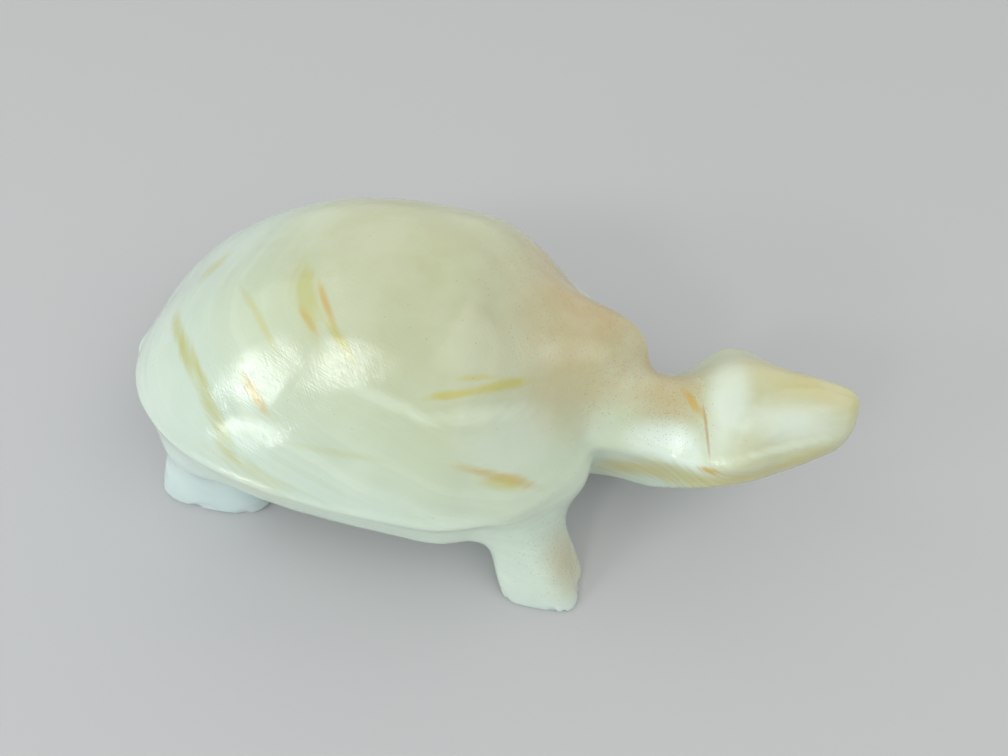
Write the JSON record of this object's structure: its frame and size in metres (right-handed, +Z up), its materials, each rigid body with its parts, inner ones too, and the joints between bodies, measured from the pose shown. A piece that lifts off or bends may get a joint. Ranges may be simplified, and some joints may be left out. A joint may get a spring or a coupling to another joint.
{
  "type": "stone turtle figurine",
  "caption": "Carved and polished stone turtle on four short legs, with a smooth domed shell and a raised wedge-shaped head.",
  "frame": {"origin": "on the surface that the soles stand on, under the middle of the figurine's bounding box", "axes": "+X from tail to head, +Y to the turtle's left, +Z up"},
  "size_m": [0.1477, 0.0812, 0.0573],
  "materials": {
    "green_onyx": "polished"
  },
  "bodies": {
    "root": {"turtle": "green_onyx"}
  },
  "joints": []
}
